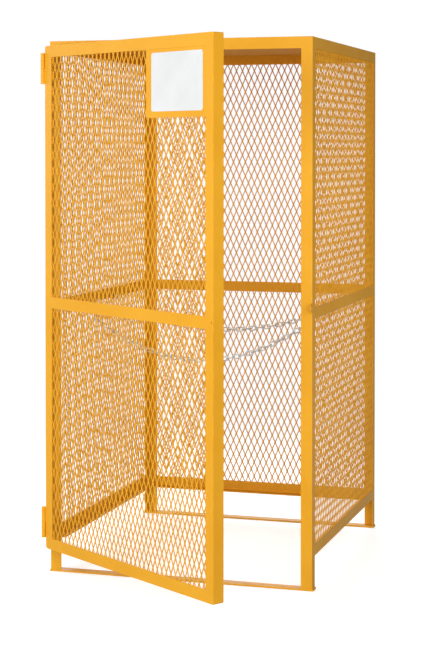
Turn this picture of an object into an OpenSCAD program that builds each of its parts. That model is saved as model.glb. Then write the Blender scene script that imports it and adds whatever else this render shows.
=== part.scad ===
// Gas cylinder cage: welded angle-bar frame, expanded-metal walls, sheet roof,
// hinged mesh door and two retaining chains. Millimetres, +Z up.
// Origin: middle of the front base bar's underside. +X right, +Y back.

/* [Cage] */
// Width over the corner posts
cage_w = 902; // [860:1:960]
// Depth over the corner posts
cage_d = 990; // [960:1:1040]
// Height from the ground to the top of the top rails
cage_h = 1778; // [1772:1:1850]

/* [Angle bar] */
// Leg width of every angle bar and flat bar
ang = 38; // [36:1:40]
// Thickness of the angle bar's legs
ang_t = 3; // [2.5:0.5:3.5]
// Fillet in the angle bar's root
root_r = 3; // [1:0.5:3]
// Rounding of the angle bar's toes
toe_r = 1.5; // [0.5:0.5:2]

/* [Base] */
// Thickness of the two base bars
base_t = 6; // [5:1:10]
// How far the base bars stick out past the posts
base_out = 4; // [0:1:6]

/* [Rails] */
// Lower edge of the side bottom rails
bottom_z = 107; // [95:1:120]
// How much lower the rear bottom rail sits
rear_drop = 5; // [0:1:8]
// Lower edge of the middle bars
mid_z = 872; // [860:1:880]

/* [Sheet metal] */
// Thickness of the roof sheet
roof_t = 1.5; // [1:0.5:2]
// Thickness of the flattened expanded metal
mesh_t = 2; // [1.5:0.5:2]
// Width of one diamond of the coarse wall pattern
dia_w = 93.4; // [70:0.1:140]
// Height of one diamond of the coarse wall pattern
dia_h = 212; // [160:1:320]
// Share of each diamond that is open
dia_open = 0.84; // [0.6:0.01:0.9]

/* [Door] */
// Width of the door
door_w = 900; // [850:1:900]
// Lower edge of the door
door_z0 = 88; // [80:1:110]
// Upper edge of the door
door_z1 = 1759; // [1740:1:1765]
// Lower edge of the door's middle bar
door_mid_z = 891; // [850:1:930]
// How far the door stands open, in degrees
open_a = 34.6; // [0:0.1:120]
// Radius of the door's corners on the hinge side
corner_r = 10; // [4:1:14]
// Radius of the door's corners on the free side
free_r = 4; // [2:1:8]
// Diameter of the hole in the free stile
stile_hole = 6.5; // [5:0.5:8]

/* [Hinges] */
// Outer radius of the hinge knuckles
knuckle_r = 7; // [6.5:0.5:7]
// Radius of the hinge pins
pin_r = 4; // [3:0.5:4.5]
// Length of one knuckle
knuckle_l = 51; // [40:1:60]
// Height of the split in the top hinge
top_split = 1685; // [1600:1:1700]
// Height of the split in the bottom hinge
bottom_split = 175; // [150:1:300]

/* [Chains] */
// Wire diameter of the chain links
link_d = 5; // [4:0.5:5]
// Inner width of a link
link_w = 8; // [8:0.5:9]
// Inner length of a link
link_l = 25.2; // [25.2:0.1:26]
// Links in the front chain, an even number
front_links = 38; // [38:2:38]
// Links in the rear chain, an even number
rear_links = 34; // [34:2:34]

/* [Hidden] */

// Outer planes of the cage
xo = cage_w / 2;
yf = -ang / 2;
yb = yf + cage_d;
// Small gap that keeps sheets and coped ends off the root fillets
gap = 0.2;

// Door, in its closed place: left face, front face, right face
door_x0 = -xo + 0.5;
door_y0 = yf - ang - 3;
door_x1 = door_x0 + door_w;

// Hinge axis
hx = -xo - knuckle_r;
hy = door_y0 - 4;
pin_gap = 0.05;

// Chain eyes: wire diameter, bend radius, height, reach of the straight legs
eye_d = 5;
eye_r = 7;
eye_z = 876;
eye_leg = 10;
eye_x = xo - ang_t - eye_leg - eye_r;
// Places of the eyes along the side walls
eye_y_fl = 370;
eye_y_fr = 180;
eye_y_rl = 556.8;
eye_y_rr = 553.6;
// Hooks: wire diameter and bend radius
hook_d = 6;
hook_r = 8.5;
hook_tip = 4;

yellow = [0.96, 0.69, 0.23];
zinc = [0.78, 0.78, 0.76];

// ---------- curves ----------
function sinh(x) = (exp(x) - exp(-x)) / 2;
function cosh(x) = (exp(x) + exp(-x)) / 2;
function asinh(x) = ln(x + sqrt(x * x + 1));
// Arc points round c, from angle a0 to a1 in n steps
function arc(c, r, a0, a1, n = 4) =
    [for (i = [0:n]) let (a = a0 + (a1 - a0) * i / n) [c[0] + r * cos(a), c[1] + r * sin(a)]];

// A hanging chain: plan ends p and q, distance u0 from p to its lowest point,
// catenary constant a and lowest height z0
function plan_len(p, q) = norm(q - p);
function hang_z(u, u0, a, z0) = z0 + a * (cosh((u - u0) / a) - 1);
function hang_len(p, q, u0, a) = a * (sinh(u0 / a) + sinh((plan_len(p, q) - u0) / a));
function hang_pt(p, q, u0, a, z0, s) =
    let (u = u0 + a * asinh(s / a - sinh(u0 / a)), k = u / plan_len(p, q))
    [p[0] + (q[0] - p[0]) * k, p[1] + (q[1] - p[1]) * k, hang_z(u, u0, a, z0)];

// ---------- sections ----------
// Angle bar section: heel at the origin, legs along +X and +Y
module angle_section()
    polygon(concat([[0, 0], [ang, 0]],
        arc([ang - toe_r, ang_t - toe_r], toe_r, 0, 90),
        arc([ang_t + root_r, ang_t + root_r], root_r, 270, 180),
        arc([ang_t - toe_r, ang - toe_r], toe_r, 0, 90),
        [[0, ang]]));

// Angle bar standing up, heel at the origin, legs along +X and +Y
module angle_up(len) linear_extrude(height = len) angle_section();

// Angle bar lying along +X from the origin: heel at the origin, one leg along +Y, one along -Z
module angle_x(len) rotate([90, 0, 90]) mirror([0, 1, 0]) linear_extrude(height = len) angle_section();

// Flat rectangle with rounded corners
module round_rect(w, h, r)
    polygon(concat(arc([w - r, r], r, -90, 0, 6), arc([w - r, h - r], r, 0, 90, 6),
        arc([r, h - r], r, 90, 180, 6), arc([r, r], r, 180, 270, 6)));

// ---------- base, posts, rails ----------
module base_bar(y) color(yellow)
    translate([-xo - base_out, y, 0]) cube([cage_w + 2 * base_out, ang, base_t]);
module base_bar_front() base_bar(yf);
module base_bar_rear() base_bar(yb - ang);

module post() translate([0, 0, base_t]) angle_up(cage_h - base_t);
module post_front_left() color(yellow) translate([-xo, yf, 0]) post();
module post_front_right() color(yellow) translate([xo, yf, 0]) mirror([1, 0, 0]) post();
module post_rear_left() color(yellow) translate([-xo, yb, 0]) mirror([0, 1, 0]) post();
module post_rear_right() color(yellow) translate([xo, yb, 0]) mirror([1, 0, 0]) mirror([0, 1, 0]) post();

// Rail across the width with its level leg on top, coped at both ends to fit inside the posts.
// Its outer face is on y = 0 and its top on z = 0
module cross_rail() {
    in = ang_t + root_r + gap;
    difference() {
        translate([-xo + in, 0, 0]) angle_x(cage_w - 2 * in);
        for (s = [-1, 1])
            translate([s * (xo - ang / 2), 0, 0])
                cube([ang, 2 * in, 3 * ang], center = true);
    }
}
// Rail along the depth between the posts: its outer face on x = 0, its top on z = 0, leg along +X
module side_rail()
    translate([0, cage_d - ang, 0]) rotate([0, 0, -90]) angle_x(cage_d - 2 * ang);

module top_rail_front() color(yellow) translate([0, yf, cage_h]) cross_rail();
module top_rail_rear() color(yellow) translate([0, yb, cage_h]) mirror([0, 1, 0]) cross_rail();
module top_rail_left() color(yellow) translate([-xo, yf, cage_h]) side_rail();
module top_rail_right() color(yellow) translate([xo, yf, cage_h]) mirror([1, 0, 0]) side_rail();

module bottom_rail_rear() color(yellow)
    translate([0, yb, bottom_z - rear_drop]) mirror([0, 1, 0]) mirror([0, 0, 1]) cross_rail();
module bottom_rail_left() color(yellow)
    translate([-xo, yf, bottom_z]) mirror([0, 0, 1]) side_rail();
module bottom_rail_right() color(yellow)
    translate([xo, yf, bottom_z]) mirror([1, 0, 0]) mirror([0, 0, 1]) side_rail();

module mid_bar_rear() color(yellow)
    translate([-xo + ang, yb - ang_t, mid_z]) cube([cage_w - 2 * ang, ang_t, ang]);
module mid_bar_left() color(yellow)
    translate([-xo, yf + ang, mid_z]) cube([ang_t, cage_d - 2 * ang, ang]);
module mid_bar_right() color(yellow)
    translate([xo - ang_t, yf + ang, mid_z]) cube([ang_t, cage_d - 2 * ang, ang]);

module roof_panel() {
    in = ang_t + root_r + gap;
    color(yellow) translate([-xo + in, yf + in, cage_h - ang_t - roof_t])
        cube([cage_w - 2 * in, cage_d - 2 * in, roof_t]);
}

// ---------- expanded-metal walls ----------
// Flat outline of a wall with diamonds in staggered rows; windows are clear patches [x, y, w, h]
module diamond_sheet(w, h, windows = []) {
    rim = 14;
    nx = ceil(w / dia_w) + 1;
    ny = ceil(h / dia_h) + 1;
    difference() {
        square([w, h]);
        intersection() {
            translate([rim, rim]) square([w - 2 * rim, h - 2 * rim]);
            union() for (i = [-nx:nx], j = [-ny:ny], k = [0, 0.5])
                let (cx = w / 2 + (i + k) * dia_w, cy = h / 2 + (j + k) * dia_h)
                if (cx > 0 && cx < w && cy > 0 && cy < h)
                    translate([cx, cy])
                        polygon([[-dia_w * dia_open / 2, 0], [0, -dia_h * dia_open / 2],
                                 [dia_w * dia_open / 2, 0], [0, dia_h * dia_open / 2]]);
        }
        for (p = windows) translate([p[0] - p[2] / 2, p[1] - p[3] / 2]) square([p[2], p[3]]);
    }
}
// The same sheet standing up in the XZ plane, and in the YZ plane
module sheet_xz(w, h) rotate([90, 0, 0]) mirror([0, 0, 1]) linear_extrude(height = mesh_t) diamond_sheet(w, h);
module sheet_yz(w, h, windows) rotate([90, 0, 90]) linear_extrude(height = mesh_t) diamond_sheet(w, h, windows);

mesh_in = ang_t + root_r + 0.5;
mesh_z0 = bottom_z + mesh_in;
mesh_z1 = cage_h - mesh_in;
module mesh_rear() color(yellow)
    translate([-xo + mesh_in, yb - ang_t - mesh_t, mesh_z0 - rear_drop])
        sheet_xz(cage_w - 2 * mesh_in, mesh_z1 - mesh_z0 + rear_drop);
module mesh_side(ys) translate([0, yf + mesh_in, mesh_z0])
    sheet_yz(cage_d - 2 * mesh_in, mesh_z1 - mesh_z0,
        [for (y = ys) [y - yf - mesh_in, eye_z - mesh_z0, 22, 12]]);
module mesh_left() color(yellow)
    translate([-xo + ang_t, 0, 0]) mesh_side([eye_y_fl, eye_y_rl]);
module mesh_right() color(yellow)
    translate([xo - ang_t - mesh_t, 0, 0]) mesh_side([eye_y_fr, eye_y_rr]);

// ---------- door ----------
// Turns the closed door about the hinge axis into its open place
module swing() translate([hx, hy, 0]) rotate([0, 0, -open_a]) translate([-hx, -hy, 0]) children();
module at_door() color(yellow) swing() translate([door_x0, door_y0, 0]) children();

// Cuts the outer corner at x = 0, z = z1 to radius r; flip it for the lower corner
module corner_cut(r) difference() {
    translate([-1, -1, -r]) cube([r + 1, ang + 2, r + 1]);
    translate([r, -2, -r]) rotate([-90, 0, 0]) cylinder(h = ang + 4, r = r, $fn = 48);
}
module stile(r) difference() {
    translate([0, 0, door_z0]) angle_up(door_z1 - door_z0);
    translate([0, 0, door_z1]) corner_cut(r);
    translate([0, 0, door_z0]) mirror([0, 0, 1]) corner_cut(r);
}
module door_stile_hinge() at_door() stile(corner_r);
module door_stile_free() at_door() difference() {
    translate([door_w, 0, 0]) mirror([1, 0, 0]) stile(free_r);
    translate([door_w - 10, -1, door_mid_z + 21]) rotate([-90, 0, 0]) cylinder(h = ang_t + 2, d = stile_hole, $fn = 40);
}
// Rail between the stiles; its level leg runs on behind the stiles' front legs
module door_rail() {
    translate([ang, 0, 0]) angle_x(door_w - 2 * ang);
    for (p = [[corner_r + 2, ang], [door_w - ang, door_w - ang_t - root_r - 1]])
        translate([p[0], ang_t, -ang_t]) cube([p[1] - p[0], ang - ang_t - toe_r, ang_t]);
}
module door_rail_top() at_door() translate([0, 0, door_z1]) door_rail();
module door_rail_bottom() at_door() translate([0, 0, door_z0]) mirror([0, 0, 1]) door_rail();
module door_mid_bar() at_door() translate([ang, 0, door_mid_z]) cube([door_w - 2 * ang, ang_t, ang]);

door_mesh_z0 = door_z0 + mesh_in;
door_mesh_z1 = door_z1 - mesh_in;
module door_mesh() at_door() translate([mesh_in, ang_t, door_mesh_z0])
    sheet_xz(door_w - 2 * mesh_in, door_mesh_z1 - door_mesh_z0);

// Sheet patch in the door's upper free corner, and the thin placard on it
plate_x = 566;
plate_z = 1513;
module sign_plate() at_door() translate([plate_x, ang_t - 1.5, plate_z])
    cube([door_w - ang - plate_x, 1.5, door_z1 - ang - plate_z]);
module sign_placard() color("white") swing()
    translate([door_x0 + 594, door_y0 + ang_t - 1.5 - 0.5, 1532])
        rotate([90, 0, 0]) mirror([0, 0, 1]) linear_extrude(height = 0.5) round_rect(254, 178, 9);

// ---------- hinges ----------
// Knuckle from z0 to z1 on the hinge axis with its bore
module knuckle(z0, z1, bore, strap_y, strap_x, strap_t) difference() {
    union() {
        translate([hx, hy, z0]) cylinder(h = z1 - z0, r = knuckle_r, $fn = 64);
        translate([strap_x - strap_t, hy, z0]) cube([strap_t, strap_y - hy, z1 - z0]);
    }
    translate([hx, hy, z0 - 1]) cylinder(h = z1 - z0 + 2, r = bore, $fn = 64);
}
// The post half is rolled from a thick strap welded to the post's outer face;
// the door half's short leaf is welded to the hinge stile's outer face
module hinge_top_post_half() color(yellow)
    knuckle(top_split, top_split + knuckle_l, pin_r, yf + 26, -xo, 2.8);
module hinge_top_door_half() color(yellow) swing()
    knuckle(top_split - knuckle_l, top_split - 0.3, pin_r + pin_gap, door_y0 + 26, door_x0, 3);
module hinge_bottom_post_half() color(yellow)
    knuckle(bottom_split - knuckle_l, bottom_split, pin_r, yf + 26, -xo, 2.8);
module hinge_bottom_door_half() color(yellow) swing()
    knuckle(bottom_split + 0.3, bottom_split + knuckle_l, pin_r + pin_gap, door_y0 + 26, door_x0, 3);
module hinge_pin(zs) color(zinc)
    translate([hx, hy, zs - knuckle_l + 2]) cylinder(h = 2 * knuckle_l - 4, r = pin_r, $fn = 64);
module hinge_top_pin() hinge_pin(top_split);
module hinge_bottom_pin() hinge_pin(bottom_split);

// ---------- lock lug ----------
// Flat tab on the right front post's outer face, reaching forward beside the closed door
module lock_lug() color(yellow) difference() {
    translate([xo, 0, 0]) rotate([90, 0, 90]) linear_extrude(height = 3.5)
        translate([yf - 36, 899]) polygon(concat([[61, 0], [61, 27]],
            arc([8, 19], 8, 90, 180, 8), arc([8, 8], 8, 180, 270, 8)));
    translate([xo - 1, yf - 24, 912.5]) rotate([0, 90, 0]) cylinder(h = 6, r = 5, $fn = 48);
}

// ---------- chains, hooks, eyes ----------
// Bent wire bow of one eye on the wall x = wall, reaching along dir
module chain_eye(wall, y, dir) translate([wall, y, eye_z]) rotate([0, 0, dir > 0 ? 0 : 180]) {
    for (s = [-1, 1]) translate([0, s * eye_r, 0]) rotate([0, 90, 0]) cylinder(h = eye_leg, d = eye_d, $fn = 32);
    translate([eye_leg, 0, 0]) rotate([0, 0, -90]) rotate_extrude(angle = 180, $fn = 48)
        translate([eye_r, 0]) circle(d = eye_d, $fn = 32);
}
module chain_eyes() color(yellow) {
    chain_eye(-xo + ang_t, eye_y_fl, 1);
    chain_eye(-xo + ang_t, eye_y_rl, 1);
    chain_eye(xo - ang_t, eye_y_fr, -1);
    chain_eye(xo - ang_t, eye_y_rr, -1);
}

// One welded link along X, lying in the XY plane
module link() {
    rm = (link_w + link_d) / 2;
    st = link_l - link_w;
    for (s = [-1, 1]) {
        translate([s * st / 2, 0, 0]) rotate([0, 0, -90 * s]) rotate_extrude(angle = 180, $fn = 48)
            translate([rm, 0]) circle(d = link_d, $fn = 24);
        translate([0, s * rm, 0]) rotate([0, 90, 0]) cylinder(h = st, d = link_d, center = true, $fn = 24);
    }
}
// Links end to end along the hanging curve, each turned a quarter from the last
module hang(p, q, u0, a, z0, n) {
    step = hang_len(p, q, u0, a) / n;
    for (i = [0:n - 1]) {
        s = hang_pt(p, q, u0, a, z0, i * step);
        e = hang_pt(p, q, u0, a, z0, (i + 1) * step);
        d = e - s;
        translate((s + e) / 2) rotate([0, 0, atan2(d[1], d[0])])
            rotate([0, -atan2(d[2], norm([d[0], d[1]])), 0]) rotate([i % 2 * 90, 0, 0]) link();
    }
}
// Front chain: plan ends, distance to the lowest point, curve constant, lowest height
fc_p = [-428, 370.6];
fc_q = [433.6, 179.6];
fc_u0 = 390;
fc_a = 674;
fc_z0 = 690;
// Rear chain
rc_p = [-381, 556.8];
rc_q = [433.3, 553.6];
rc_u0 = 351;
rc_a = 1010;
rc_z0 = 769;
module chain_front() color(zinc) hang(fc_p, fc_q, fc_u0, fc_a, fc_z0, front_links);
module chain_rear() color(zinc) hang(rc_p, rc_q, rc_u0, rc_a, rc_z0, rear_links);

// Middle of a hook's lower bend, from the chain's first point and slope
function bend_mid(p, u0, a, z0) =
    let (sl = -sinh(-u0 / a), r = hook_r - hook_d / 2 - 0.1, c = 1 / norm([1, sl]))
    [p[0] - r * c, hang_z(0, u0, a, z0) + r * sl * c];
// S-hook in the XZ plane at y, from the eye's wire at [ex, eye_z] to the lower bend's middle b
module s_hook(ex, y, b) {
    v = [b[0] - ex, b[1] - eye_z];
    dist = norm(v) - (hook_r - hook_d / 2 - eye_d / 2 - 0.1);
    sh = sqrt(dist * dist / 4 - hook_r * hook_r);
    mid = b - v / norm(v) * dist / 2;
    // turn that brings the line through both bends onto v
    turn = atan2(v[1], v[0]) - atan2(-sh, hook_r);
    translate([mid[0], y, mid[1]]) rotate([0, -turn, 0]) {
        cylinder(h = 2 * sh, d = hook_d, center = true, $fn = 32);
        for (m = [0, 180]) rotate([0, m, 0]) {
            translate([-hook_r, 0, sh]) rotate([90, 0, 0]) rotate_extrude(angle = 180, $fn = 48)
                translate([hook_r, 0]) circle(d = hook_d, $fn = 32);
            translate([-2 * hook_r, 0, sh - hook_tip]) cylinder(h = hook_tip, d = hook_d, $fn = 32);
        }
    }
}
module hook_front() color(zinc) s_hook(-eye_x, eye_y_fl, bend_mid(fc_p, fc_u0, fc_a, fc_z0));
module hook_rear() color(zinc) s_hook(-eye_x, eye_y_rl, bend_mid(rc_p, rc_u0, rc_a, rc_z0));

base_bar_front();
base_bar_rear();
post_front_left();
post_front_right();
post_rear_left();
post_rear_right();
top_rail_front();
top_rail_rear();
top_rail_left();
top_rail_right();
mid_bar_rear();
mid_bar_left();
mid_bar_right();
bottom_rail_rear();
bottom_rail_left();
bottom_rail_right();
roof_panel();
mesh_rear();
mesh_left();
mesh_right();
door_stile_hinge();
door_stile_free();
door_rail_top();
door_mid_bar();
door_rail_bottom();
door_mesh();
sign_plate();
sign_placard();
hinge_top_post_half();
hinge_top_door_half();
hinge_top_pin();
hinge_bottom_post_half();
hinge_bottom_door_half();
hinge_bottom_pin();
lock_lug();
chain_eyes();
hook_front();
hook_rear();
chain_front();
chain_rear();
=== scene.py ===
import math
import random

import bmesh
import bpy
import numpy as np
from mathutils import Matrix, Vector


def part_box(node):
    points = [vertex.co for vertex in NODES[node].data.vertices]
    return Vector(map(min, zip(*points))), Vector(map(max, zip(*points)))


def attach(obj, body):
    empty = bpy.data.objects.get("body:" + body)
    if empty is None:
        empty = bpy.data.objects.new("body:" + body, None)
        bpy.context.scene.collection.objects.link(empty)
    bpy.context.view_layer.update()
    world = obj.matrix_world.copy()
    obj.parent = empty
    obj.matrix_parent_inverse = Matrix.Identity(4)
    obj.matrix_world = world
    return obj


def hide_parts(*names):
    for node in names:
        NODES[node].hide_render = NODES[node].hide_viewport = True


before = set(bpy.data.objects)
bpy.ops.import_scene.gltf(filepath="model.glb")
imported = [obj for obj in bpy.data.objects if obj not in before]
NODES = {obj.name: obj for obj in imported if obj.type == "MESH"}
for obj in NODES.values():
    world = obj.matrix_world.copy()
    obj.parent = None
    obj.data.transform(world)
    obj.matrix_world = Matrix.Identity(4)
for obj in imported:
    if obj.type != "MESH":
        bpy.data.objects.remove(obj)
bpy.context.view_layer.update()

# ------------------------------------------------------------------ dimensions, mm
XO, YF, YB, H = 451.0, -19.0, 971.0, 1778.0
ANG, T = 38.0, 3.0
BASE_T = 6.0
DOOR_W, DOOR_Z0, DOOR_Z1 = 900.0, 88.0, 1759.0
DOOR_X0, DOOR_Y0 = -450.5, -60.0
HX, HY = -458.0, -64.0
OPEN = math.radians(-34.6)


def box_mm(node):
    lo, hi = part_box(node)
    return [c * 1000 for c in lo], [c * 1000 for c in hi]


def cage_pt(u, v, z):
    return (u, v, z)


def door_pt(u, v, z):
    """Door's own place (from its left edge, from its front, height) to the open door's place."""
    x, y = DOOR_X0 + u - HX, DOOR_Y0 + v - HY
    c, s = math.cos(OPEN), math.sin(OPEN)
    return (HX + c * x - s * y, HY + s * x + c * y, z)


# ------------------------------------------------------------------ camera
YAW, PITCH = math.radians(17.150), 0.02031
look = Vector((-math.sin(YAW) * math.cos(PITCH), math.cos(YAW) * math.cos(PITCH), -math.sin(PITCH)))
cam_data = bpy.data.cameras.new("camera")
cam_data.sensor_fit = "AUTO"
cam_data.sensor_width = 36.0
cam_data.lens = 93.81
cam_data.shift_y = -0.2181
cam_data.clip_start = 0.05
cam_data.clip_end = 100.0
cam_data.dof.use_dof = False
cam = bpy.data.objects.new("camera", cam_data)
cam.location = (1.7300, -5.2672, 1.4196)
cam.rotation_euler = look.to_track_quat("-Z", "Y").to_euler()
bpy.context.scene.collection.objects.link(cam)
bpy.context.scene.camera = cam


# ------------------------------------------------------------------ materials
def new_material(name):
    m = bpy.data.materials.new(name)
    m.use_nodes = True
    nt = m.node_tree
    nt.nodes.clear()
    out = nt.nodes.new("ShaderNodeOutputMaterial")
    bsdf = nt.nodes.new("ShaderNodeBsdfPrincipled")
    nt.links.new(bsdf.outputs["BSDF"], out.inputs["Surface"])
    return m, nt, bsdf


def noise(nt, coord, scale, detail=3.0, rough=0.5, stretch=None):
    src = coord
    if stretch:
        mp = nt.nodes.new("ShaderNodeMapping")
        mp.inputs["Scale"].default_value = stretch
        nt.links.new(coord, mp.inputs["Vector"])
        src = mp.outputs["Vector"]
    n = nt.nodes.new("ShaderNodeTexNoise")
    n.inputs["Scale"].default_value = scale
    n.inputs["Detail"].default_value = detail
    n.inputs["Roughness"].default_value = rough
    nt.links.new(src, n.inputs["Vector"])
    return n.outputs["Fac"]


def remap(nt, fac, a, b, lo=0.3, hi=0.7):
    r = nt.nodes.new("ShaderNodeMapRange")
    r.inputs["From Min"].default_value = lo
    r.inputs["From Max"].default_value = hi
    r.inputs["To Min"].default_value = a
    r.inputs["To Max"].default_value = b
    nt.links.new(fac, r.inputs["Value"])
    return r.outputs["Result"]


def mix(nt, fac, a, b, kind="MIX"):
    m = nt.nodes.new("ShaderNodeMix")
    m.data_type = "RGBA"
    m.blend_type = kind
    for key, value in (("A", a), ("B", b)):
        sock = [s for s in m.inputs if s.name == key and s.type == "RGBA"][0]
        if isinstance(value, tuple):
            sock.default_value = value
        else:
            nt.links.new(value, sock)
    fs = [s for s in m.inputs if s.name == "Factor" and s.type == "VALUE"][0]
    if isinstance(fac, float):
        fs.default_value = fac
    else:
        nt.links.new(fac, fs)
    return [s for s in m.outputs if s.type == "RGBA"][0]


def add(nt, a, b, ka=1.0, kb=1.0):
    parts = []
    for s, k in ((a, ka), (b, kb)):
        q = nt.nodes.new("ShaderNodeMath")
        q.operation = "MULTIPLY"
        nt.links.new(s, q.inputs[0])
        q.inputs[1].default_value = k
        parts.append(q.outputs[0])
    p = nt.nodes.new("ShaderNodeMath")
    p.operation = "ADD"
    nt.links.new(parts[0], p.inputs[0])
    nt.links.new(parts[1], p.inputs[1])
    return p.outputs[0]


def bump(nt, bsdf, height, strength, distance):
    b = nt.nodes.new("ShaderNodeBump")
    b.inputs["Strength"].default_value = strength
    b.inputs["Distance"].default_value = distance
    nt.links.new(height, b.inputs["Height"])
    nt.links.new(b.outputs["Normal"], bsdf.inputs["Normal"])


def powder_coat(name, tint, deep, light, rough, peel, peel_scale=420.0, coat=0.06):
    """Sprayed powder paint: even colour with slow film-thickness changes, fine orange peel."""
    m, nt, b = new_material(name)
    tc = nt.nodes.new("ShaderNodeTexCoord").outputs["Object"]
    slow = noise(nt, tc, 5.0, 2.0, 0.5)
    mid = noise(nt, tc, 38.0, 4.0, 0.55)
    fine = noise(nt, tc, 900.0, 2.0, 0.5)
    c1 = mix(nt, remap(nt, slow, 0.0, 1.0), deep, light)
    c2 = mix(nt, remap(nt, mid, 0.0, 0.55, 0.35, 0.7), c1, tint)
    c3 = mix(nt, remap(nt, fine, 0.0, 0.10, 0.5, 0.75), c2, (deep[0] * 0.72, deep[1] * 0.66, deep[2] * 0.6, 1.0))
    nt.links.new(c3, b.inputs["Base Color"])
    nt.links.new(remap(nt, add(nt, mid, fine, 0.7, 0.3), rough - 0.06, rough + 0.08), b.inputs["Roughness"])
    b.inputs["Specular IOR Level"].default_value = 0.16
    b.inputs["Coat Weight"].default_value = coat
    b.inputs["Coat Roughness"].default_value = 0.22
    peel_h = noise(nt, tc, peel_scale, 1.5, 0.4)
    wave = noise(nt, tc, 60.0, 2.0, 0.5)
    bump(nt, b, add(nt, peel_h, wave, 0.45, 1.0), peel, 0.0006)
    return m


def zinc_coat(name, base, dull, rough, scale=160.0):
    """Bright zinc plating with a faint passivation cloud and small dull spots."""
    m, nt, b = new_material(name)
    tc = nt.nodes.new("ShaderNodeTexCoord").outputs["Object"]
    cloud = noise(nt, tc, 55.0, 4.0, 0.6)
    spot = noise(nt, tc, scale * 2.2, 3.0, 0.6)
    c1 = mix(nt, remap(nt, cloud, 0.0, 1.0), base, dull)
    c2 = mix(nt, remap(nt, spot, 0.0, 0.5, 0.55, 0.8), c1, (dull[0] * 0.6, dull[1] * 0.58, dull[2] * 0.55, 1.0))
    nt.links.new(c2, b.inputs["Base Color"])
    b.inputs["Metallic"].default_value = 0.75
    nt.links.new(remap(nt, add(nt, cloud, spot, 0.5, 0.5), rough - 0.08, rough + 0.14), b.inputs["Roughness"])
    bump(nt, b, spot, 0.25, 0.0003)
    return m


YELLOW = (0.775, 0.362, 0.017, 1.0)
YELLOW_DEEP = (0.745, 0.337, 0.013, 1.0)
YELLOW_LIGHT = (0.800, 0.385, 0.022, 1.0)
frame_paint = powder_coat("frame_paint", YELLOW, YELLOW_DEEP, YELLOW_LIGHT, 0.40, 0.22, coat=0.03)
mesh_paint = powder_coat(
    "mesh_paint", (0.770, 0.358, 0.018, 1.0), (0.730, 0.325, 0.014, 1.0), (0.800, 0.385, 0.024, 1.0), 0.46, 0.20, 520.0, 0.02
)
sheet_paint = powder_coat(
    "sheet_paint", YELLOW, (0.735, 0.330, 0.015, 1.0), YELLOW_LIGHT, 0.56, 0.26, 330.0, 0.0
)
zinc_plate = zinc_coat("zinc_plate", (0.77, 0.76, 0.71, 1.0), (0.62, 0.61, 0.56, 1.0), 0.31)
pin_steel = zinc_coat("pin_steel", (0.56, 0.55, 0.53, 1.0), (0.42, 0.41, 0.39, 1.0), 0.36, 240.0)


def placard_material():
    """White vinyl film: slight satin gloss, faint squeegee streaks, a shade warmer in clouds."""
    m, nt, b = new_material("placard_vinyl")
    tc = nt.nodes.new("ShaderNodeTexCoord").outputs["Object"]
    cloud = noise(nt, tc, 14.0, 3.0, 0.5)
    streak = noise(nt, tc, 9.0, 3.0, 0.6, (1.0, 1.0, 16.0))
    grain = noise(nt, tc, 1400.0, 2.0, 0.5)
    c = mix(nt, remap(nt, cloud, 0.0, 1.0), (0.71, 0.71, 0.70, 1.0), (0.66, 0.66, 0.645, 1.0))
    c = mix(nt, remap(nt, grain, 0.0, 0.25, 0.5, 0.8), c, (0.62, 0.62, 0.61, 1.0))
    nt.links.new(c, b.inputs["Base Color"])
    nt.links.new(remap(nt, add(nt, streak, cloud, 0.7, 0.3), 0.40, 0.55), b.inputs["Roughness"])
    b.inputs["Specular IOR Level"].default_value = 0.3
    b.inputs["Coat Weight"].default_value = 0.06
    b.inputs["Coat Roughness"].default_value = 0.15
    bump(nt, b, add(nt, streak, grain, 1.0, 0.12), 0.12, 0.0004)
    return m


placard_vinyl = placard_material()
SLOTS = {
    "frame_paint": frame_paint,
    "mesh_paint": mesh_paint,
    "sheet_paint": sheet_paint,
    "zinc_plate": zinc_plate,
    "pin_steel": pin_steel,
    "placard_vinyl": placard_vinyl,
}


def finish_of(node):
    if node.startswith("mesh_") or node == "door_mesh":
        return "mesh_paint"
    if node in ("roof_panel", "sign_plate"):
        return "sheet_paint"
    if node.startswith(("chain_front", "chain_rear", "hook_")):
        return "zinc_plate"
    if node.endswith("_pin"):
        return "pin_steel"
    if node == "sign_placard":
        return "placard_vinyl"
    return "frame_paint"


def paint(obj, slot_name):
    mats = obj.data.materials
    if len(mats):
        for i in range(len(mats)):
            mats[i] = SLOTS[slot_name]
    else:
        mats.append(SLOTS[slot_name])


for name, ob in NODES.items():
    paint(ob, finish_of(name))


def soften(node, width_mm, segments=2, angle=38.0):
    """Small rounding on the sharp edges of a CAD node."""
    ob = NODES[node]
    w = ob.modifiers.new("join", "WELD")
    w.merge_threshold = 0.00001
    d = ob.modifiers.new("flat_faces", "DECIMATE")
    d.decimate_type = "DISSOLVE"
    d.angle_limit = math.radians(0.5)
    b = ob.modifiers.new("round", "BEVEL")
    b.width = width_mm / 1000
    b.segments = segments
    b.limit_method = "ANGLE"
    b.angle_limit = math.radians(angle)
    b.use_clamp_overlap = True
    n = ob.modifiers.new("shade", "WEIGHTED_NORMAL")
    n.weight = 60
    n.keep_sharp = False


EDGE = {
    "base_bar": 0.8, "post_": 0.7, "top_rail": 0.6, "mid_bar": 0.5, "bottom_rail": 0.6,
    "roof_panel": 0.3, "door_stile": 0.6, "door_rail": 0.6, "door_mid_bar": 0.5,
    "sign_plate": 0.35, "lock_lug": 0.5,
}
for name in NODES:
    for start, width in EDGE.items():
        if name.startswith(start):
            soften(name, width)


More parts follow.
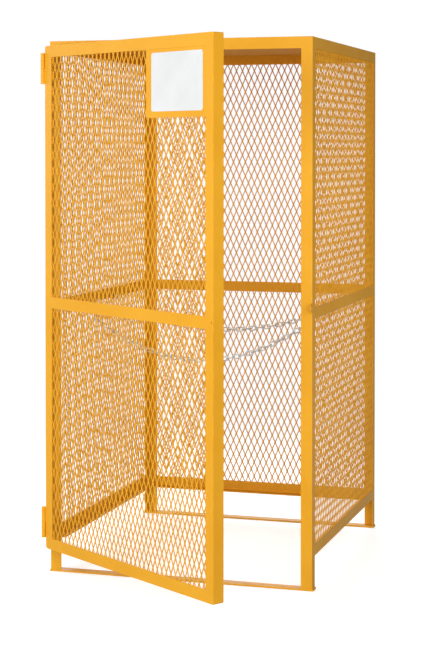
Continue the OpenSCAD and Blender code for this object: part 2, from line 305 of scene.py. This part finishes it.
# ------------------------------------------------------------------ expanded metal
def expanded(name, node, body, place, u0, u1, z0, z1, v0, v1, ou, oz, p, q):
    """Flattened expanded metal: every diamond is a ring of strand round a six-sided opening.
    The sheet is sheared off square along its outline."""
    a, b, c = 0.364 * p, 0.050 * q, 0.4135 * q
    cells = []
    for k in (0.0, 0.5):
        i0, i1 = math.floor((u0 - ou) / p - k) - 1, math.ceil((u1 - ou) / p - k) + 1
        j0, j1 = math.floor((z0 - oz) / q - k) - 1, math.ceil((z1 - oz) / q - k) + 1
        I, J = np.meshgrid(np.arange(i0, i1 + 1), np.arange(j0, j1 + 1))
        cells.append(np.stack([ou + (I.ravel() + k) * p, oz + (J.ravel() + k) * q], -1))
    C = np.concatenate(cells)
    shape = np.array(
        [[p / 2, 0], [0, q / 2], [-p / 2, 0], [0, -q / 2], [a, b], [0, c], [-a, b], [-a, -b], [0, -c], [a, -b]]
    )
    flat = (C[:, None, :] + shape[None]).reshape(-1, 2)
    key = np.round(flat, 3)
    uniq, inv = np.unique(key, axis=0, return_inverse=True)
    inv = inv.reshape(-1, 10)
    n = len(uniq)
    rings = [(0, 1, 5, 4), (1, 2, 6, 5), (2, 7, 6), (2, 3, 8, 7), (3, 0, 9, 8), (0, 4, 9)]
    hole = [4, 5, 6, 7, 8, 9]
    faces = []
    for cell in inv:
        for r in rings:
            faces.append([int(cell[i]) for i in r])
            faces.append([int(cell[i]) + n for i in reversed(r)])
        for h in range(6):
            x, y = int(cell[hole[h]]), int(cell[hole[(h + 1) % 6]])
            faces.append([x, y, y + n, x + n])
    verts = [(u, v0, z) for u, z in uniq] + [(u, v1, z) for u, z in uniq]
    me = bpy.data.meshes.new(name)
    me.from_pydata([tuple(float(x) for x in v) for v in verts], [], faces)
    bm = bmesh.new()
    bm.from_mesh(me)
    for co, no in (((u0, 0, 0), (-1, 0, 0)), ((u1, 0, 0), (1, 0, 0)), ((0, 0, z0), (0, 0, -1)), ((0, 0, z1), (0, 0, 1))):
        geom = bm.verts[:] + bm.edges[:] + bm.faces[:]
        cut = bmesh.ops.bisect_plane(bm, geom=geom, dist=0.0005, plane_co=co, plane_no=no, clear_outer=True)
        edges = [e for e in bm.edges if e.is_boundary]
        near = [e for e in edges if all(abs((vv.co - Vector(co)).dot(Vector(no))) < 0.01 for vv in e.verts)]
        if near:
            bmesh.ops.holes_fill(bm, edges=near, sides=0)
    loose = [vv for vv in bm.verts if not vv.link_faces]
    if loose:
        bmesh.ops.delete(bm, geom=loose, context="VERTS")
    for vv in bm.verts:
        w = place(vv.co.x, vv.co.y, vv.co.z)
        vv.co = Vector((w[0] / 1000, w[1] / 1000, w[2] / 1000))
    bmesh.ops.recalc_face_normals(bm, faces=bm.faces[:])
    bm.to_mesh(me)
    bm.free()
    me.shade_flat()
    ob = bpy.data.objects.new(name, me)
    bpy.context.scene.collection.objects.link(ob)
    paint(ob, "mesh_paint")
    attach(ob, body)
    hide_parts(node)
    return ob


mesh_in = 6.5
lo, hi = box_mm("mesh_rear")
expanded("expanded_metal_rear", "mesh_rear", "cage", cage_pt, lo[0], hi[0], lo[2], hi[2], lo[1] + 0.1, hi[1] - 0.1,
         -315.40, 162.25, 23.786, 53.598)
for side, eye_y in (("left", 370.0), ("right", 180.0)):
    lo, hi = box_mm("mesh_" + side)
    expanded("expanded_metal_" + side, "mesh_" + side, "cage", lambda u, v, z: (v, u, z), lo[1], hi[1], lo[2], hi[2],
             lo[0] + 0.1, hi[0] - 0.1, eye_y, 876.0, 23.35, 53.0)
expanded("expanded_metal_door", "door_mesh", "door", door_pt, mesh_in, DOOR_W - mesh_in, DOOR_Z0 + mesh_in,
         DOOR_Z1 - mesh_in, T + 0.1, T + 1.9, 158.56, 163.15, 23.034, 52.506)


# ------------------------------------------------------------------ welds
rng = random.Random(7)


class Welds:
    """Weld beads of one body, each a closed rippled run."""

    def __init__(self):
        self.v, self.f = [], []

    def run(self, p, q, r, place=cage_pt, pitch=2.6, squash=1.0, toward=None, sides=8):
        """A bead of radius r from p to q (mm). squash flattens it along toward."""
        p, q = Vector(place(*p)), Vector(place(*q))
        d = q - p
        length = d.length
        d.normalize()
        if toward is None:
            n1 = d.orthogonal().normalized()
        else:
            n1 = Vector(place(*[a + b for a, b in zip((0, 0, 0), toward)])) - Vector(place(0, 0, 0))
            n1 = (n1 - d * n1.dot(d)).normalized()
        n2 = d.cross(n1)
        steps = max(4, int(length / (pitch / 4)))
        base = len(self.v)
        phase = rng.random() * pitch
        rings = 0
        for i in range(steps + 1):
            s = length * i / steps
            end = min(s, length - s)
            taper = math.sqrt(max(0.0, 1 - (1 - min(1.0, (end + 0.15) / r)) ** 2))
            k = (s + phase) / pitch
            ripple = 0.88 + 0.12 * abs(math.sin(math.pi * k))
            rr = r * taper * ripple * (0.97 + 0.06 * rng.random())
            c = p + d * s
            for j in range(sides):
                a = 2 * math.pi * j / sides
                off = n1 * (math.cos(a) * rr * squash) + n2 * (math.sin(a) * rr)
                self.v.append(tuple((c + off) / 1000))
            rings += 1
        for i in range(rings - 1):
            for j in range(sides):
                a0 = base + i * sides + j
                a1 = base + i * sides + (j + 1) % sides
                self.f.append((a0, a1, a1 + sides, a0 + sides))
        self.f.append(tuple(base + j for j in reversed(range(sides))))
        last = base + (rings - 1) * sides
        self.f.append(tuple(last + j for j in range(sides)))

    def make(self, name, body, slot_name="frame_paint"):
        me = bpy.data.meshes.new(name)
        me.from_pydata(self.v, [], self.f)
        bm = bmesh.new()
        bm.from_mesh(me)
        bmesh.ops.recalc_face_normals(bm, faces=bm.faces[:])
        bm.to_mesh(me)
        bm.free()
        me.shade_smooth()
        ob = bpy.data.objects.new(name, me)
        bpy.context.scene.collection.objects.link(ob)
        paint(ob, slot_name)
        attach(ob, body)
        return ob


# frame: posts on the base bars, rails and bars on the posts
feet = Welds()
for sx in (-1, 1):
    for y0, y1 in ((YF, YF + ANG), (YB - ANG, YB)):
        # outside, on the lip of the base bar, and along the inside of both legs
        feet.run((sx * (XO + 0.1), y0 + 2, BASE_T + 0.1), (sx * (XO + 0.1), y1 - 2, BASE_T + 0.1), 2.4)
        heel = y0 + T if y0 < 0 else y1 - T
        feet.run((sx * (XO - T - 3), heel, BASE_T + 0.1), (sx * (XO - ANG + 1), heel, BASE_T + 0.1), 2.2)
        a, b = (y0 + T + 3, y1 - 1) if y0 < 0 else (y0 + 1, y1 - T - 3)
        feet.run((sx * (XO - T), a, BASE_T + 0.1), (sx * (XO - T), b, BASE_T + 0.1), 2.2)
feet.make("welds_feet", "cage")

joints = Welds()
lo_b, hi_b = box_mm("bottom_rail_left")
lo_r, hi_r = box_mm("bottom_rail_rear")
lo_m, hi_m = box_mm("mid_bar_left")
lo_n, hi_n = box_mm("mid_bar_rear")
seam = 1.15
for sx in (-1, 1):
    # side rails and bars meet the posts' legs edge to edge: a low bead outside
    for z0, z1 in ((H - ANG + 1, H - 1), (lo_m[2] + 1, hi_m[2] - 1), (lo_b[2] + 1, hi_b[2] - 1)):
        for y in (YF + ANG, YB - ANG):
            joints.run((sx * (XO - 0.55), y, z0), (sx * (XO - 0.55), y, z1), seam * 1.25, squash=0.8, toward=(1, 0, 0))
    # top and bottom level legs of the side rails, across to the posts
    for y, dy in ((YF + ANG, -1), (YB - ANG, 1)):
        joints.run((sx * (XO - T - 1), y, H - T - 0.2), (sx * (XO - ANG + 2), y + dy * 0.0, H - T - 0.2), 1.5)
        joints.run((sx * (XO - T - 4), y + dy * 0.2, lo_b[2] + T + 0.2), (sx * (XO - ANG + 3), y + dy * 0.2, lo_b[2] + T + 0.2), 1.5)
    # front top rail, and the rear rails and bar from the inside
    joints.run((sx * (XO - ANG), YF + 0.55, H - ANG + 1), (sx * (XO - ANG), YF + 0.55, H - 1), seam, squash=0.75, toward=(0, 1, 0))
    for z0, z1 in ((H - ANG + 1, H - T - 3), (lo_n[2] + 1, hi_n[2] - 1), (lo_r[2] + T + 3, hi_r[2] - 1)):
        joints.run((sx * (XO - ANG), YB - T - 0.1, z0), (sx * (XO - ANG), YB - T - 0.1, z1), 1.7)
    joints.run((sx * (XO - ANG), YF + T, H - ANG + 1), (sx * (XO - ANG), YF + T, H - T - 3), 1.7)
joints.make("welds_joints", "cage")

# hinge straps, lock tab and chain eyes
hinge_w = Welds()
for node in ("hinge_top_post_half", "hinge_bottom_post_half"):
    lo_h, hi_h = box_mm(node)
    z0, z1 = lo_h[2] + 1.5, hi_h[2] - 1.5
    hinge_w.run((-XO - 0.4, 7.4, z0), (-XO - 0.4, 7.4, z1), 2.3)
    for z in (lo_h[2] - 0.1, hi_h[2] + 0.1):
        hinge_w.run((-XO - 0.5, -17.0, z), (-XO - 0.5, 5.5, z), 1.9)
lo_l, hi_l = box_mm("lock_lug")
hinge_w.run((XO + 0.3, hi_l[1] + 0.3, lo_l[2] + 1), (XO + 0.3, hi_l[1] + 0.3, hi_l[2] - 1), 2.3)
for z in (lo_l[2] - 0.2, hi_l[2] + 0.2):
    hinge_w.run((XO + 0.3, -17.5, z), (XO + 0.3, hi_l[1] - 1.5, z), 2.0)
for wall, sx, ys in ((-XO + T, 1, (370.0, 556.8)), (XO - T, -1, (180.0, 553.6))):
    for y in ys:
        for s in (-7.0, 7.0):
            # a small ring of bead round each leg of the eye
            pts = []
            for k in range(10):
                t = 2 * math.pi * k / 9
                pts.append((wall + sx * 0.1, y + s + 2.7 * math.cos(t), 876.0 + 2.7 * math.sin(t)))
            for k in range(9):
                hinge_w.run(pts[k], pts[k + 1], 1.15, pitch=1.6, sides=6)
hinge_w.make("welds_fittings", "cage")

# tacks that hold the sheets inside the legs
tacks = Welds()


def tack(p, q, r, place=cage_pt, toward=None):
    tacks.run(p, q, r, place, pitch=2.4, squash=0.75, toward=toward)


lo_s, hi_s = box_mm("mesh_left")
for sx in (-1, 1):
    x = sx * (XO - T - 2.0)
    for i in range(10):
        z = 210 + i * 165.0
        for y in (YF + ANG - 5, YB - ANG + 5):
            tack((x, y - 4, z), (x, y + 4, z + 1.5), 2.1, toward=(1, 0, 0))
    for i in range(6):
        y = 90 + i * 158.0
        tack((x, y - 4, H - ANG + 6), (x, y + 4, H - ANG + 6), 2.0, toward=(1, 0, 0))
        tack((x, y - 4, hi_b[2] - 6), (x, y + 4, hi_b[2] - 6), 2.0, toward=(1, 0, 0))
        if min(abs(y - 370), abs(y - 180), abs(y - 555)) > 22:
            tack((x, y - 4, lo_m[2] + 18), (x, y + 4, lo_m[2] + 18), 2.0, toward=(1, 0, 0))
yr = YB - T - 2.0
for i in range(10):
    z = 205 + i * 165.0
    for x in (-XO + ANG - 5, XO - ANG + 5):
        tack((x - 4, yr, z), (x + 4, yr, z + 1.2), 2.1, toward=(0, 1, 0))
for i in range(6):
    x = -370 + i * 148.0
    tack((x - 4, yr, H - ANG + 6), (x + 4, yr, H - ANG + 6), 2.0, toward=(0, 1, 0))
    tack((x - 4, yr, hi_r[2] - 6), (x + 4, yr, hi_r[2] - 6), 2.0, toward=(0, 1, 0))
    tack((x - 4, yr, lo_n[2] + 19), (x + 4, yr, lo_n[2] + 19), 2.0, toward=(0, 1, 0))
# the roof sheet under the rails' level legs
zr = H - T - 1.6
for i in range(6):
    x = -375 + i * 150.0
    for y, d in ((YF + ANG - 1, 1), (YB - ANG + 1, -1)):
        tack((x - 8, y, zr + 1.4), (x + 8, y, zr + 1.4), 1.7, toward=(0, 0, 1))
    y = 60 + i * 165.0
    for sx in (-1, 1):
        tack((sx * (XO - ANG + 1), y - 8, zr + 1.4), (sx * (XO - ANG + 1), y + 8, zr + 1.4), 1.7, toward=(0, 0, 1))
tacks.make("welds_tacks", "cage")

# door
door_w = Welds()
for z0, z1 in ((DOOR_Z1 - ANG + 1, DOOR_Z1 - 1.5), (DOOR_Z0 + 1.5, DOOR_Z0 + ANG - 1)):
    for u in (ANG, DOOR_W - ANG):
        door_w.run((u, 0.5, z0), (u, 0.5, z1), 1.1, door_pt, squash=0.75, toward=(0, 1, 0))
        door_w.run((u, T, z0 + (4 if z0 > 900 else 0)), (u, T, z1 - (4 if z0 > 900 else 0)), 1.7, door_pt)
lo_d = 891.0
for u in (ANG, DOOR_W - ANG):
    door_w.run((u, 0.5, lo_d + 1), (u, 0.5, lo_d + ANG - 1), 1.1, door_pt, squash=0.75, toward=(0, 1, 0))
# short leaves of the hinges on the stile's outer leg
for node in ("hinge_top_door_half", "hinge_bottom_door_half"):
    lo_h, hi_h = box_mm(node)
    door_w.run((-0.3, 26.3, lo_h[2] + 1.5), (-0.3, 26.3, hi_h[2] - 1.5), 2.1, door_pt)
    for z in (lo_h[2] - 0.1, hi_h[2] + 0.1):
        if abs(z - 1684.7) > 1 and abs(z - 175.3) > 1:
            door_w.run((-0.4, 2.0, z), (-0.4, 24.5, z), 1.8, door_pt)
for i in range(10):
    z = 190 + i * 165.0
    for u in (ANG - 5, DOOR_W - ANG + 5):
        door_w.run((u - 4, T + 1.9, z), (u + 4, T + 1.9, z + 1.2), 2.1, door_pt, squash=0.75, toward=(0, 1, 0))
for i in range(6):
    u = 90 + i * 144.0
    door_w.run((u - 4, T + 1.9, DOOR_Z1 - ANG + 6), (u + 4, T + 1.9, DOOR_Z1 - ANG + 6), 2.0, door_pt, squash=0.75, toward=(0, 1, 0))
    door_w.run((u - 4, T + 1.9, DOOR_Z0 + ANG - 6), (u + 4, T + 1.9, DOOR_Z0 + ANG - 6), 2.0, door_pt, squash=0.75, toward=(0, 1, 0))
    door_w.run((u - 4, T + 1.9, lo_d + 19), (u + 4, T + 1.9, lo_d + 19), 2.0, door_pt, squash=0.75, toward=(0, 1, 0))
door_w.make("welds_door", "door")


def blind_insert(name, body, place, u, z, v0, v1, r_in, r_out, n=40):
    """Closed cup pressed in behind a hole: open in front, blind at the back, rounded at its end."""
    rows = [(r_in, v0), (r_out, v0), (r_out, v1 - 1.2), (r_out - 0.35, v1 - 0.35), (r_out - 1.2, v1)]
    rows += [(r_in - 0.6, v1 - 1.0), (r_in, v1 - 1.6)]
    verts, faces = [], []
    for r, v in rows:
        for k in range(n):
            a = 2 * math.pi * k / n
            verts.append(tuple(c / 1000 for c in place(u + r * math.cos(a), v, z + r * math.sin(a))))
    m = len(rows)
    for i in range(m):
        if i == 4:
            continue
        j = (i + 1) % m
        for k in range(n):
            l = (k + 1) % n
            faces.append((i * n + k, i * n + l, j * n + l, j * n + k))
    faces.append(tuple(4 * n + k for k in range(n)))
    faces.append(tuple(5 * n + k for k in reversed(range(n))))
    me = bpy.data.meshes.new(name)
    me.from_pydata(verts, [], faces)
    bm = bmesh.new()
    bm.from_mesh(me)
    bmesh.ops.recalc_face_normals(bm, faces=bm.faces[:])
    bm.to_mesh(me)
    bm.free()
    me.shade_smooth()
    me.set_sharp_from_angle(angle=math.radians(35))
    ob = bpy.data.objects.new(name, me)
    bpy.context.scene.collection.objects.link(ob)
    paint(ob, "frame_paint")
    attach(ob, body)
    return ob


# behind the round hole in the free stile, where the edge strand of the mesh crosses it
blind_insert("stile_insert", "door", door_pt, DOOR_W - 10.0, lo_d + 21.0, T - 0.05, T + 9.0, 3.3, 4.6)


# ------------------------------------------------------------------ floor and light
def floor_material():
    """Pale studio floor: matt near the object, fading into the white sweep far away."""
    m, nt, b = new_material("studio_floor")
    tc = nt.nodes.new("ShaderNodeTexCoord").outputs["Object"]
    ln = nt.nodes.new("ShaderNodeVectorMath")
    ln.operation = "LENGTH"
    nt.links.new(tc, ln.inputs[0])
    far = remap(nt, ln.outputs["Value"], 0.0, 1.0, 0.9, 2.6)
    tone = mix(nt, remap(nt, noise(nt, tc, 3.0, 3.0), 0.0, 1.0), (0.86, 0.86, 0.86, 1.0), (0.84, 0.84, 0.84, 1.0))
    nt.links.new(tone, b.inputs["Base Color"])
    b.inputs["Roughness"].default_value = 0.9
    b.inputs["Specular IOR Level"].default_value = 0.1
    b.inputs["Emission Color"].default_value = (1.0, 1.0, 1.0, 1.0)
    b.inputs["Emission Strength"].default_value = FLOOR_GLOW
    em = nt.nodes.new("ShaderNodeEmission")
    em.inputs["Color"].default_value = (1.0, 1.0, 1.0, 1.0)
    em.inputs["Strength"].default_value = 1.0
    sh = nt.nodes.new("ShaderNodeMixShader")
    nt.links.new(far, sh.inputs["Fac"])
    nt.links.new(b.outputs["BSDF"], sh.inputs[1])
    nt.links.new(em.outputs["Emission"], sh.inputs[2])
    # the floor throws back less light than it shows, as a matt grey studio floor does
    dim = nt.nodes.new("ShaderNodeBsdfDiffuse")
    dim.inputs["Color"].default_value = (0.43, 0.48, 0.54, 1.0)
    path = nt.nodes.new("ShaderNodeLightPath")
    seen = nt.nodes.new("ShaderNodeMixShader")
    nt.links.new(path.outputs["Is Camera Ray"], seen.inputs["Fac"])
    nt.links.new(dim.outputs["BSDF"], seen.inputs[1])
    nt.links.new(sh.outputs["Shader"], seen.inputs[2])
    out = [n for n in nt.nodes if n.type == "OUTPUT_MATERIAL"][0]
    nt.links.new(seen.outputs["Shader"], out.inputs["Surface"])
    return m


FLOOR_GLOW = 0.50
me = bpy.data.meshes.new("floor")
bm = bmesh.new()
bmesh.ops.create_circle(bm, cap_ends=True, radius=60.0, segments=64)
bm.to_mesh(me)
bm.free()
floor = bpy.data.objects.new("floor", me)
floor.location = (0.0, 0.45, 0.0)
bpy.context.scene.collection.objects.link(floor)
me.materials.append(floor_material())

world = bpy.data.worlds.new("studio")
bpy.context.scene.world = world
world.use_nodes = True
wn = world.node_tree
wn.nodes.clear()
w_out = wn.nodes.new("ShaderNodeOutputWorld")
w_light = wn.nodes.new("ShaderNodeBackground")
w_light.inputs["Color"].default_value = (1.0, 0.995, 0.985, 1.0)
w_light.inputs["Strength"].default_value = 0.19
w_seen = wn.nodes.new("ShaderNodeBackground")
w_seen.inputs["Color"].default_value = (1.0, 1.0, 1.0, 1.0)
w_seen.inputs["Strength"].default_value = 1.0
w_path = wn.nodes.new("ShaderNodeLightPath")
w_mix = wn.nodes.new("ShaderNodeMixShader")
wn.links.new(w_path.outputs["Is Camera Ray"], w_mix.inputs["Fac"])
wn.links.new(w_light.outputs["Background"], w_mix.inputs[1])
wn.links.new(w_seen.outputs["Background"], w_mix.inputs[2])
wn.links.new(w_mix.outputs["Shader"], w_out.inputs["Surface"])


def area(name, where, aim, size, watts, colour=(1.0, 1.0, 1.0)):
    d = bpy.data.lights.new(name, "AREA")
    d.shape = "RECTANGLE"
    d.size, d.size_y = size
    d.energy = watts
    d.color = colour
    o = bpy.data.objects.new(name, d)
    o.location = where
    o.rotation_euler = (Vector(aim) - Vector(where)).to_track_quat("-Z", "Y").to_euler()
    bpy.context.scene.collection.objects.link(o)
    return o


area("key", (1.5, -5.2, 2.3), (0.0, 0.0, 0.85), (4.4, 3.4), 180.0)
area("fill_left", (-3.5, -4.5, 1.7), (-0.3, -0.2, 0.8), (3.0, 3.0), 176.0)
area("fill_right", (3.6, -3.0, 1.9), (0.45, 0.1, 0.9), (2.6, 2.6), 62.0)
area("side_mid", (1.27, 0.50, 1.10), (0.45, 0.50, 0.95), (0.5, 0.5), 1.5)
area("back", (-2.0, 6.2, 4.1), (0.0, 0.9, 1.0), (3.6, 3.2), 300.0)
area("back_left", (-5.0, 1.6, 2.2), (-0.45, 0.5, 0.9), (3.0, 3.0), 75.0)

scene = bpy.context.scene
scene.view_settings.view_transform = "Standard"
scene.view_settings.look = "None"
scene.view_settings.exposure = 0.0
scene.view_settings.gamma = 1.0

bpy.context.view_layer.update()
